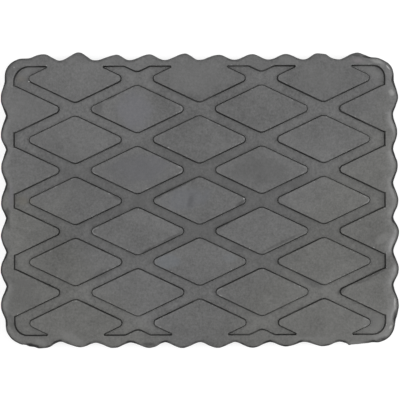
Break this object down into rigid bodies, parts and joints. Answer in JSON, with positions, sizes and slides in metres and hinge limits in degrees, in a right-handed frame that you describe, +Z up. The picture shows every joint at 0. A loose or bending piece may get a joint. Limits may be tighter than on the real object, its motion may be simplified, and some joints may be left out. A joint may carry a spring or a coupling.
{
  "type": "car lift rubber pad",
  "caption": "Moulded rubber block pad for a vehicle lift, with raised diamonds between shallow grooves, a plain border, wavy sides and a flat underside.",
  "frame": {"origin": "middle of the flat underside, which is the bottom centre of the bounding box", "axes": "+X along the pad's length, towards the right of the picture; +Y across it, towards the top of the picture; +Z up, out of the grooved top"},
  "size_m": [0.1606, 0.1192, 0.02],
  "materials": {
    "rubber": "matt moulded rubber with a faint mould bloom and smudges"
  },
  "bodies": {
    "root": {"pad": "rubber"}
  },
  "joints": []
}
